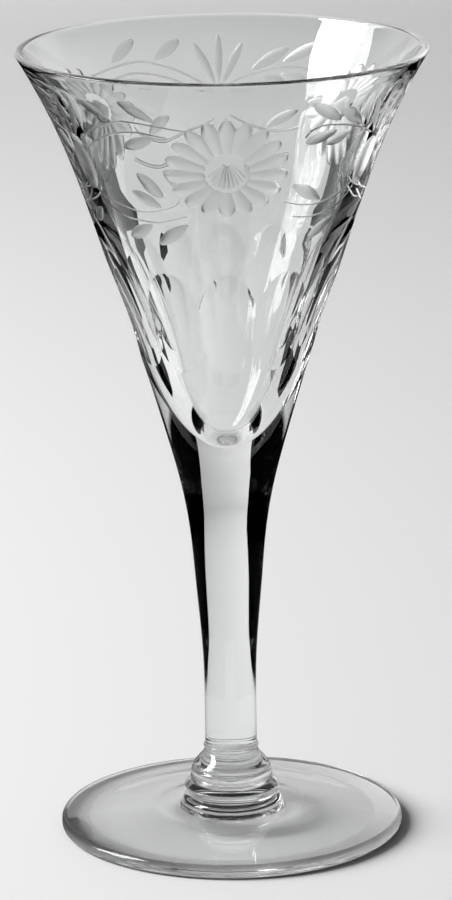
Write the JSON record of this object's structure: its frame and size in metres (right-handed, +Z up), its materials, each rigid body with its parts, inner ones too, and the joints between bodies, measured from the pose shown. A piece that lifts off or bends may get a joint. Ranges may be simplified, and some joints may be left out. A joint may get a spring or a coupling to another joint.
{
  "type": "sherry glass",
  "caption": "Stemmed drinking glass with a trumpet bowl cut with flutes, a swelling stem, a bell knop on a thin collar and a round foot.",
  "frame": {"origin": "centre of the resting face under the foot", "axes": "+Z up along the axis of the glass, through the bowl's mouth; -Y faces the viewer of a cut flower on the bowl"},
  "size_m": [0.066, 0.066, 0.13],
  "materials": {
    "foot_glass": "clear, fire-polished",
    "collar_glass": "clear, fire-polished",
    "stem_glass": "clear, fire-polished",
    "bowl_glass": "clear, polished, with matt wheel-cut ornament"
  },
  "bodies": {
    "root": {"foot": "foot_glass", "merese": "collar_glass", "knop": "collar_glass", "stem": "stem_glass", "bowl": "bowl_glass"}
  },
  "joints": []
}
